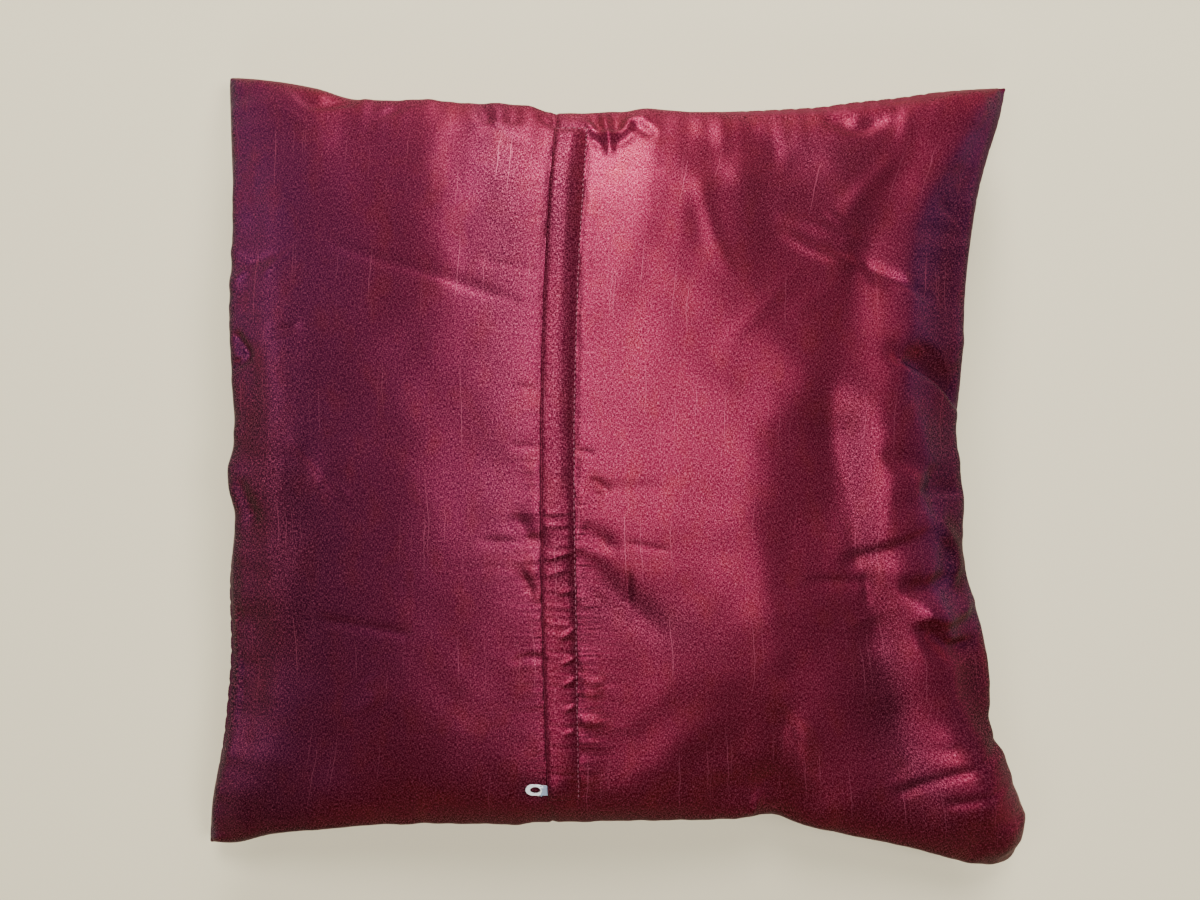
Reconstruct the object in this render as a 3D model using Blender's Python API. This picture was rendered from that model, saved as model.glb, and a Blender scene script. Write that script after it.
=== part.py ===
"""A square throw pillow, filled, lying on its face with its zipped back up.

The cushion is one filled solid. A lap of cloth covers the zip down the middle of the back, and the zip's
metal pull tab comes out from under the lap near the bottom side. Sizes are in metres. Seen from above,
X runs to the right side and Y to the top side, and the floor is at Z = 0.
"""
import math

import bmesh
import bpy
from mathutils import Matrix, Vector

COLLECTION_NAME = "throw_pillow"

# Edges that turn more sharply than this stay sharp
SHARP_ANGLE = math.radians(50)

# Linear colour, roughness and metallic value of each material
TAFFETA = ((0.190, 0.012, 0.045), 0.42, 0.0)
PLATED_STEEL = ((0.80, 0.80, 0.82), 0.25, 1.0)

# Tips of the four corners, seen from above
TOP_LEFT = Vector((-0.1928, 0.1969))
TOP_RIGHT = Vector((0.2030, 0.1918))
BOTTOM_LEFT = Vector((-0.2030, -0.1928))
BOTTOM_RIGHT = Vector((0.2025, -0.1969))

# How far each side is drawn in from the straight line between its corners.
# Columns: share of the way along the side, inset. The left and right sides run down from the top corner,
# the top and bottom sides run right from the left corner.
LEFT_SIDE = (
    (0.00, 0.0000), (0.06, 0.0037), (0.12, 0.0071), (0.17, 0.0094), (0.25, 0.0109), (0.32, 0.0108),
    (0.40, 0.0132), (0.47, 0.0150), (0.52, 0.0121), (0.57, 0.0160), (0.65, 0.0142), (0.74, 0.0151),
    (0.80, 0.0134), (0.86, 0.0104), (0.94, 0.0036), (1.00, 0.0000),
)
RIGHT_SIDE = (
    (0.00, 0.0000), (0.05, 0.0063), (0.10, 0.0138), (0.16, 0.0208), (0.26, 0.0273), (0.39, 0.0307),
    (0.46, 0.0332), (0.54, 0.0292), (0.59, 0.0321), (0.64, 0.0291), (0.71, 0.0204), (0.78, 0.0155),
    (0.82, 0.0165), (0.87, 0.0112), (0.95, 0.0042), (1.00, 0.0000),
)
TOP_SIDE = (
    (0.00, 0.0000), (0.04, 0.0024), (0.12, 0.0094), (0.17, 0.0158), (0.27, 0.0181), (0.32, 0.0206),
    (0.37, 0.0200), (0.42, 0.0242), (0.50, 0.0229), (0.54, 0.0207), (0.59, 0.0218), (0.74, 0.0180),
    (0.79, 0.0147), (0.85, 0.0110), (0.90, 0.0068), (1.00, 0.0000),
)
BOTTOM_SIDE = (
    (0.00, 0.0000), (0.04, 0.0023), (0.09, 0.0087), (0.17, 0.0141), (0.24, 0.0181), (0.34, 0.0207),
    (0.39, 0.0220), (0.44, 0.0232), (0.53, 0.0226), (0.65, 0.0225), (0.70, 0.0244), (0.73, 0.0199),
    (0.78, 0.0151), (0.85, 0.0090), (0.90, 0.0057), (1.00, 0.0000),
)

# The seam that joins back and face, and the swell of the filling on each side of it
SEAM_THICKNESS = 0.0020
CORNER_SEAM_HEIGHT = 0.018
SIDE_SEAM_HEIGHT = 0.048
SEAM_RISE_POWER = 3.5
BACK_CROWN = 0.070
FACE_CROWN = 0.070
CROWN_POWER = 0.40

# The cushion's net: cells along a side, and how far they crowd towards the seam (0 even, 1 most)
CELLS = 48
CROWDING = 0.6

# Search for the net's shares at a place in plan, and the step over which the back's slope is taken
SEARCH_STEPS = 8
NORMAL_STEP = 0.002

# Main folds of the back.
# Columns: name, points that the fold runs through, half width, depth (a ridge has a depth below zero)
FOLDS = (
    ("valley from the top side", ((0.026, 0.160), (0.048, 0.134), (0.052, 0.095)), 0.010, 0.0035),
    ("pucker beside the lap's top", ((-0.002, 0.166), (0.007, 0.148)), 0.008, -0.0025),
    ("long crease, left", ((-0.123, 0.100), (-0.094, 0.089), (-0.044, 0.073)), 0.009, 0.0020),
    ("short crease, low left", ((-0.128, -0.071), (-0.092, -0.075)), 0.009, 0.0015),
    ("upper crease, right", ((0.085, 0.107), (0.100, 0.101), (0.118, 0.095)), 0.008, 0.0025),
    ("shoulder crease, right", ((0.120, 0.095), (0.135, 0.086), (0.150, 0.077)), 0.008, 0.0030),
    ("soft hollow, right", ((0.067, 0.020), (0.078, -0.020), (0.072, -0.069)), 0.024, 0.0035),
    ("dent in the right side", ((0.136, 0.050), (0.148, 0.041), (0.166, 0.031)), 0.011, 0.0060),
    ("lower dent, right side", ((0.145, -0.008), (0.166, -0.012)), 0.009, 0.0045),
    ("slack fold, right side", ((0.150, -0.058), (0.161, -0.066), (0.177, -0.078)), 0.009, -0.0045),
    ("tuck under the slack fold", ((0.150, -0.078), (0.162, -0.086), (0.176, -0.096)), 0.008, 0.0040),
    ("corner crease, low right", ((0.181, -0.133), (0.158, -0.142), (0.136, -0.153)), 0.008, 0.0030),
    ("tuck at the bottom notch", ((0.078, -0.166), (0.072, -0.150), (0.063, -0.140)), 0.010, 0.0060),
    ("first drag line, low middle", ((-0.002, -0.131), (0.014, -0.117), (0.032, -0.104)), 0.009, 0.0025),
    ("second drag line, low middle", ((0.024, -0.146), (0.037, -0.135), (0.050, -0.124)), 0.009, 0.0025),
    ("tuck in the top side, left", ((-0.128, 0.176), (-0.120, 0.164)), 0.010, 0.0030),
)
FOLD_FREE_SWELL = 0.35

# The lap over the zip, from its top end to its bottom end.
# Columns: y, x of the folded edge, x of the stitched edge
LAP = (
    (0.1570, -0.0251, -0.0101),
    (0.0830, -0.0286, -0.0139),
    (0.0070, -0.0301, -0.0155),
    (-0.0770, -0.0294, -0.0147),
    (-0.1530, -0.0277, -0.0138),
)
LAP_CELLS_ALONG = 64
# Columns: share of the way from the folded edge to the stitched edge, thickness of cloth and zip there
LAP_THICKNESS = ((0.00, 0.0016), (0.35, 0.0026), (0.60, 0.0024), (1.00, 0.0010))
LAP_CELLS_ACROSS = 6
CLEARANCE = 0.0004

# The zip's pull tab: a stamped plate with one round end, an eye in it, and its other end under the lap
TAB_LENGTH = 0.0160
TAB_END_RADIUS = 0.0038
TAB_NECK_WIDTH = 0.0062
TAB_THICKNESS = 0.0010
TAB_EYE_LENGTH = 0.0042
TAB_EYE_WIDTH = 0.0027
TAB_EYE_FROM_END = 0.0045
TAB_MIDDLE = Vector((-0.0308, -0.1496))
TAB_TURN = math.radians(-2)
ARC_STEPS = 16
WELD_DISTANCE = 0.00001

# The lap's rise over the tab: its height, its half length along the lap, and the shares of the lap's width
# between which it runs out
TUNNEL_HEIGHT = 0.0017
TUNNEL_HALF_LENGTH = 0.010
TUNNEL_ENDS = (0.45, 0.90)


def smooth_value(rows, share, column=1):
    """Value of a table's column at a share, on a smooth curve through the rows."""
    shares = [row[0] for row in rows]
    values = [row[column] for row in rows]
    last = len(rows) - 1
    place = 0
    while place < last - 1 and share > shares[place + 1]:
        place += 1
    before, after = max(place - 1, 0), min(place + 2, last)
    step = shares[place + 1] - shares[place]
    slope_in = (values[place + 1] - values[before]) / (shares[place + 1] - shares[before]) * step
    slope_out = (values[after] - values[place]) / (shares[after] - shares[place]) * step
    t = (share - shares[place]) / step
    return (
        (2 * t**3 - 3 * t**2 + 1) * values[place] + (t**3 - 2 * t**2 + t) * slope_in
        + (3 * t**2 - 2 * t**3) * values[place + 1] + (t**3 - t**2) * slope_out
    )


def outline_point(across, up):
    """Point in plan for shares of the way across (left to right) and up (bottom to top)."""
    down = 1 - up
    left = TOP_LEFT.x * up + BOTTOM_LEFT.x * down + smooth_value(LEFT_SIDE, down)
    right = TOP_RIGHT.x * up + BOTTOM_RIGHT.x * down - smooth_value(RIGHT_SIDE, down)
    low = BOTTOM_LEFT.y * (1 - across) + BOTTOM_RIGHT.y * across + smooth_value(BOTTOM_SIDE, across)
    high = TOP_LEFT.y * (1 - across) + TOP_RIGHT.y * across - smooth_value(TOP_SIDE, across)
    return Vector((left + (right - left) * across, low + (high - low) * up))


def seam_height(across, up):
    """Height of the sheet in which the seam lies: low at the corners, level between them."""
    corner = abs(2 * across - 1) ** SEAM_RISE_POWER * abs(2 * up - 1) ** SEAM_RISE_POWER
    return SIDE_SEAM_HEIGHT + (CORNER_SEAM_HEIGHT - SIDE_SEAM_HEIGHT) * corner


def swell(across, up):
    """Share of the full crown: none at the seam, steep beside it and nearly level in the middle."""
    filled = 4 * across * (1 - across) * 4 * up * (1 - up)
    return max(filled, 0.0) ** CROWN_POWER


def smooth_step(low, high, value):
    """From 0 at low to 1 at high, level at both."""
    t = min(max((value - low) / (high - low), 0.0), 1.0)
    return t * t * (3 - 2 * t)


def distance_to_path(place, path):
    """Distance in plan from a place to the nearest of a path's straight stretches."""
    nearest = math.inf
    for start, end in zip(path, path[1:]):
        start, end = Vector(start), Vector(end)
        along = (place - start).dot(end - start) / (end - start).length_squared
        along = min(max(along, 0.0), 1.0)
        nearest = min(nearest, (place - start.lerp(end, along)).length)
    return nearest


def fold_depth(place):
    """How far the folds push the back down at a place in plan."""
    depth = 0.0
    for _, path, half_width, fold in FOLDS:
        depth += fold * math.exp(-(distance_to_path(place, path) / half_width) ** 2)
    return depth


def back_height(across, up):
    """Height of the back: the crown over the seam, less the folds, which fade out beside the seam."""
    full = swell(across, up)
    crown = seam_height(across, up) + SEAM_THICKNESS / 2 + BACK_CROWN * full
    return crown - fold_depth(outline_point(across, up)) * smooth_step(0.0, FOLD_FREE_SWELL, full)


def face_height(across, up):
    """Height of the face, which the floor flattens."""
    return max(seam_height(across, up) - SEAM_THICKNESS / 2 - FACE_CROWN * swell(across, up), 0.0)


def crowded(share):
    """Share moved towards the nearer end, so that the net is finer beside the seam."""
    return (1 - CROWDING) * share + CROWDING * (1 - math.cos(math.pi * share)) / 2


def make_object(name, net, material, collection):
    """New object from a bmesh, shaded smooth."""
    mesh = bpy.data.meshes.new(name)
    bmesh.ops.recalc_face_normals(net, faces=net.faces)
    net.to_mesh(mesh)
    net.free()
    mesh.shade_smooth()
    mesh.set_sharp_from_angle(angle=SHARP_ANGLE)
    mesh.materials.append(material)
    made = bpy.data.objects.new(name, mesh)
    collection.objects.link(made)
    return made


def make_material(name, colour, roughness, metallic):
    """Principled material with a linear colour."""
    material = bpy.data.materials.new(name)
    material.use_nodes = True
    shader = material.node_tree.nodes["Principled BSDF"]
    shader.inputs["Base Color"].default_value = (*colour, 1.0)
    shader.inputs["Roughness"].default_value = roughness
    shader.inputs["Metallic"].default_value = metallic
    return material


def two_skins(cells_across, cells_along, upper, lower):
    """Closed bmesh of two nets whose rims are bridged. Each skin gives the point for its two shares."""
    net = bmesh.new()
    rims = []
    for skin in (upper, lower):
        made = bmesh.ops.create_grid(net, x_segments=cells_across, y_segments=cells_along, size=0.5)
        for vert in made["verts"]:
            vert.co = skin(vert.co.x + 0.5, vert.co.y + 0.5)
        made_verts = set(made["verts"])
        rims.extend(edge for edge in net.edges if edge.is_boundary and edge.verts[0] in made_verts)
    bmesh.ops.bridge_loops(net, edges=rims)
    return net


def make_cushion(collection, cloth):
    """The filled cushion: its back and its face, joined by the narrow band of the seam."""

    def back(across, up):
        across, up = crowded(across), crowded(up)
        return outline_point(across, up).to_3d() + Vector((0, 0, back_height(across, up)))

    def face(across, up):
        across, up = crowded(across), crowded(up)
        return outline_point(across, up).to_3d() + Vector((0, 0, face_height(across, up)))

    return make_object("cushion", two_skins(CELLS, CELLS, back, face), cloth, collection)


def shares_of(place):
    """Shares across and up at which the outline's net passes through a place in plan."""
    across, up = 0.5, 0.5
    for _ in range(SEARCH_STEPS):
        missed = place - outline_point(across, up)
        across += missed.x / (TOP_RIGHT.x - TOP_LEFT.x)
        up += missed.y / (TOP_LEFT.y - BOTTOM_LEFT.y)
    return across, up


def back_point(place):
    """Point of the back over a place in plan, and the back's normal there."""
    height = back_height(*shares_of(place))
    rise_x = back_height(*shares_of(place + Vector((NORMAL_STEP, 0)))) - height
    rise_y = back_height(*shares_of(place + Vector((0, NORMAL_STEP)))) - height
    return place.to_3d() + Vector((0, 0, height)), Vector((-rise_x, -rise_y, NORMAL_STEP)).normalized()


def make_lap(collection, cloth):
    """The stitched lap over the zip, which follows the back and rises over the pull tab."""
    top, bottom = LAP[0][0], LAP[-1][0]
    shares = [((top - row[0]) / (top - bottom), row[1], row[2]) for row in LAP]

    def bed(across, down):
        folded, stitched = smooth_value(shares, down, 1), smooth_value(shares, down, 2)
        place = Vector((folded + (stitched - folded) * across, top + (bottom - top) * down))
        point, normal = back_point(place)
        near_tab = math.exp(-((place.y - TAB_MIDDLE.y) / TUNNEL_HALF_LENGTH) ** 4)
        lift = TUNNEL_HEIGHT * near_tab * (1 - smooth_step(*TUNNEL_ENDS, across))
        return point + normal * (CLEARANCE + lift), normal

    def lower(across, down):
        return bed(across, down)[0]

    def upper(across, down):
        point, normal = bed(across, down)
        return point + normal * smooth_value(LAP_THICKNESS, across)

    net = two_skins(LAP_CELLS_ACROSS, LAP_CELLS_ALONG, upper, lower)
    return make_object("zip_lap", net, cloth, collection)


def add_ring(curve, points):
    """Closed straight-sided outline on a flat curve."""
    spline = curve.splines.new("POLY")
    spline.points.add(len(points) - 1)
    for point, (x, y) in zip(spline.points, points):
        point.co = (x, y, 0, 1)
    spline.use_cyclic_u = True


def arc(middle_x, radius_x, radius_y, start, end):
    """Points of an arc about (middle_x, 0), from one angle to another."""
    angles = [math.radians(start + (end - start) * step / ARC_STEPS) for step in range(ARC_STEPS + 1)]
    return [(middle_x + radius_x * math.cos(angle), radius_y * math.sin(angle)) for angle in angles]


def make_tab(collection, metal):
    """The pull tab, a flat plate that lies on the back."""
    curve = bpy.data.curves.new("tab_outline", "CURVE")
    curve.dimensions = "2D"
    curve.fill_mode = "BOTH"
    curve.extrude = TAB_THICKNESS / 2
    round_end = -TAB_LENGTH / 2 + TAB_END_RADIUS
    neck = TAB_LENGTH / 2
    plate = arc(round_end, TAB_END_RADIUS, TAB_END_RADIUS, 90, 270)
    add_ring(curve, plate + [(neck, -TAB_NECK_WIDTH / 2), (neck, TAB_NECK_WIDTH / 2)])
    eye_middle = -TAB_LENGTH / 2 + TAB_EYE_FROM_END
    add_ring(curve, arc(eye_middle, TAB_EYE_LENGTH / 2, TAB_EYE_WIDTH / 2, 0, 360)[:-1])
    outline = bpy.data.objects.new("tab_outline", curve)
    collection.objects.link(outline)

    evaluated = outline.evaluated_get(bpy.context.evaluated_depsgraph_get())
    plate_mesh = bpy.data.meshes.new_from_object(evaluated)
    net = bmesh.new()
    net.from_mesh(plate_mesh)
    bmesh.ops.remove_doubles(net, verts=net.verts, dist=WELD_DISTANCE)
    bpy.data.objects.remove(outline, do_unlink=True)

    tab = make_object("pull_tab", net, metal, collection)
    point, normal = back_point(TAB_MIDDLE)
    turn = Matrix.Rotation(TAB_TURN, 4, "Z")
    tilt = Vector((0, 0, 1)).rotation_difference(normal).to_matrix().to_4x4()
    tab.matrix_world = Matrix.Translation(point + normal * (CLEARANCE + TAB_THICKNESS / 2)) @ tilt @ turn
    return tab


def clear_scene():
    """Remove the objects that a new file starts with."""
    for old in list(bpy.data.objects):
        bpy.data.objects.remove(old, do_unlink=True)


def build():
    """The whole pillow, in a collection of its own."""
    clear_scene()
    collection = bpy.data.collections.new(COLLECTION_NAME)
    bpy.context.scene.collection.children.link(collection)
    cloth = make_material("wine_taffeta", *TAFFETA)
    metal = make_material("plated_steel", *PLATED_STEEL)
    make_cushion(collection, cloth)
    make_lap(collection, cloth)
    make_tab(collection, metal)


build()
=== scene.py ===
"""Looks of a square throw pillow in shot taffeta, lying on its face with its zipped back up.

Sizes and places are in metres, apart from the tables of shoulders and folds, which are in millimetres. They
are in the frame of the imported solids: X to the right side of the back, Y to its top side, Z up from the floor.
"""

import math
import random

import bmesh
import bpy
import numpy as np
from mathutils import Euler, Matrix, Vector, noise
from mathutils.bvhtree import BVHTree


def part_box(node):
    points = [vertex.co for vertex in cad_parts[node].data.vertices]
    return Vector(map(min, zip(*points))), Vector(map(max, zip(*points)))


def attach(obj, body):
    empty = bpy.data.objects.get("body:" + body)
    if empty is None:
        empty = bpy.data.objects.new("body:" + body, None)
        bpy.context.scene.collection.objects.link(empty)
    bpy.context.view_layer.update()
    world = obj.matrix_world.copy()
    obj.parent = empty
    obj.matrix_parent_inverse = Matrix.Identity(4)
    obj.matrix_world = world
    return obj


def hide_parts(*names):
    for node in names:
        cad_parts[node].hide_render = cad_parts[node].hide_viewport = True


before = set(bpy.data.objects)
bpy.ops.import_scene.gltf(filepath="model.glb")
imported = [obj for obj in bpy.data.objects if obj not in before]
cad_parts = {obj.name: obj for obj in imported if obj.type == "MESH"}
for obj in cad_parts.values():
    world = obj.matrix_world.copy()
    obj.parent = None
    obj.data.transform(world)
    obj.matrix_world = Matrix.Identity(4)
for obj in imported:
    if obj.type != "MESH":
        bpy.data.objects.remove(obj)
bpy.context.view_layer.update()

bl_info = {
    "name": "Taffeta throw pillow",
    "version": (1, 0, 0),
    "blender": (4, 5, 0),
    "location": "3D View > Sidebar > Pillow",
    "description": "Filled cushion cover with a lapped zip, its stitching and pull tab, and a plain stage",
    "category": "Object",
}

# Tips of the corners, and how far each side is drawn in from the line between them.
# Columns of a side: share of the way along it, inset. Left and right run down, top and bottom run right.
TOP_LEFT = (-0.1928, 0.1969)
TOP_RIGHT = (0.2030, 0.1918)
BOTTOM_LEFT = (-0.2030, -0.1928)
BOTTOM_RIGHT = (0.2025, -0.1969)
LEFT_SIDE = (
    (0.00, 0.0000), (0.06, 0.0037), (0.12, 0.0071), (0.17, 0.0094), (0.25, 0.0109), (0.32, 0.0108),
    (0.40, 0.0132), (0.47, 0.0150), (0.52, 0.0121), (0.57, 0.0160), (0.65, 0.0142), (0.74, 0.0151),
    (0.80, 0.0134), (0.86, 0.0104), (0.94, 0.0036), (1.00, 0.0000),
)
RIGHT_SIDE = (
    (0.00, 0.0000), (0.05, 0.0063), (0.10, 0.0138), (0.16, 0.0208), (0.26, 0.0273), (0.39, 0.0307),
    (0.46, 0.0332), (0.54, 0.0292), (0.59, 0.0308), (0.64, 0.0268), (0.71, 0.0190), (0.78, 0.0155),
    (0.82, 0.0165), (0.87, 0.0112), (0.95, 0.0042), (1.00, 0.0000),
)
TOP_SIDE = (
    (0.00, 0.0000), (0.04, 0.0024), (0.12, 0.0094), (0.17, 0.0158), (0.27, 0.0181), (0.32, 0.0206),
    (0.37, 0.0200), (0.42, 0.0242), (0.50, 0.0229), (0.54, 0.0207), (0.59, 0.0218), (0.74, 0.0180),
    (0.79, 0.0147), (0.85, 0.0110), (0.90, 0.0068), (1.00, 0.0000),
)
BOTTOM_SIDE = (
    (0.00, 0.0000), (0.04, 0.0023), (0.09, 0.0087), (0.17, 0.0141), (0.24, 0.0181), (0.34, 0.0207),
    (0.39, 0.0220), (0.44, 0.0232), (0.53, 0.0226), (0.65, 0.0225), (0.70, 0.0244), (0.73, 0.0199),
    (0.78, 0.0151), (0.85, 0.0090), (0.90, 0.0057), (1.00, 0.0000),
)

# The unit of the tables of shoulders and folds, in metres
MM = 0.001

# Where the back breaks over the filling and falls steeply to the seam. Each runs with the seam on its left.
RIGHT_SHOULDER = (
    (195, 186), (184, 173), (169, 146), (155, 121), (148, 100), (146, 80), (144, 61), (138, 45), (137, 30),
    (150, 7), (143, -13), (153, -30), (152, -55), (156, -70), (162, -85), (163, -111), (173, -126),
    (187, -152), (198, -187),
)
LEFT_SHOULDER = (
    (-195, -182), (-169, -140), (-162, -100), (-160, -50), (-161, 0), (-160, 50), (-158, 100), (-164, 140),
    (-183, 180),
)
# Columns: shoulder, how far the fall beyond it is flattened, how softly it begins
SHOULDERS = ((RIGHT_SHOULDER, 6, 3), (LEFT_SHOULDER, 4, 8))

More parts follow.
